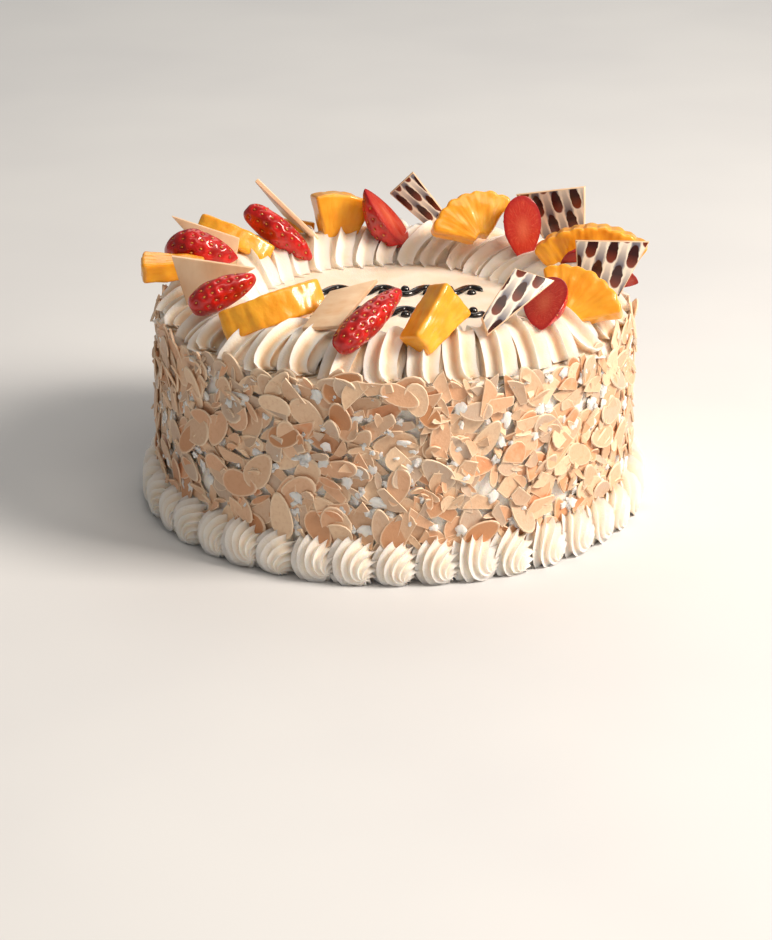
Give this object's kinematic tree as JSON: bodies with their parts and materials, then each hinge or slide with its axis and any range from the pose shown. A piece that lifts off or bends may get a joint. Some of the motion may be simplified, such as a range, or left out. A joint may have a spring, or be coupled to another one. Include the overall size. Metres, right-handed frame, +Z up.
{
  "type": "round birthday cake without candles",
  "caption": "Round cream cake with an almond side, piped borders, and strawberries, pineapple and white chocolate plates on top.",
  "frame": {"origin": "middle of the underside, at the floor", "axes": "+Z up; -Y the front that the picture shows; +X the viewer's right"},
  "size_m": [0.23, 0.23, 0.1272],
  "materials": {
    "cream_coat": "matte",
    "piped_cream": "satin",
    "strawberry": "glazed",
    "pineapple": "glazed",
    "white_chocolate": "satin"
  },
  "bodies": {
    "root": {"cake_body": "cream_coat", "foot_border": "piped_cream", "top_border": "piped_cream", "strawberry_left_front": "strawberry", "strawberry_front": "strawberry", "strawberry_right_front": "strawberry", "strawberry_left": "strawberry", "strawberry_left_back": "strawberry", "strawberry_back": "strawberry", "strawberry_right_back": "strawberry", "strawberry_right": "strawberry", "pineapple_left": "pineapple", "pineapple_left_front": "pineapple", "pineapple_front": "pineapple", "pineapple_right_front": "pineapple", "pineapple_right": "pineapple", "pineapple_right_back": "pineapple", "pineapple_back": "pineapple", "pineapple_left_back": "pineapple", "pineapple_far_back": "pineapple", "plate_left_front": "white_chocolate", "plate_left": "white_chocolate", "plate_left_back": "white_chocolate", "plate_front": "white_chocolate", "plate_back": "white_chocolate", "plate_right_back": "white_chocolate", "plate_right": "white_chocolate", "plate_right_front": "white_chocolate"}
  },
  "joints": []
}
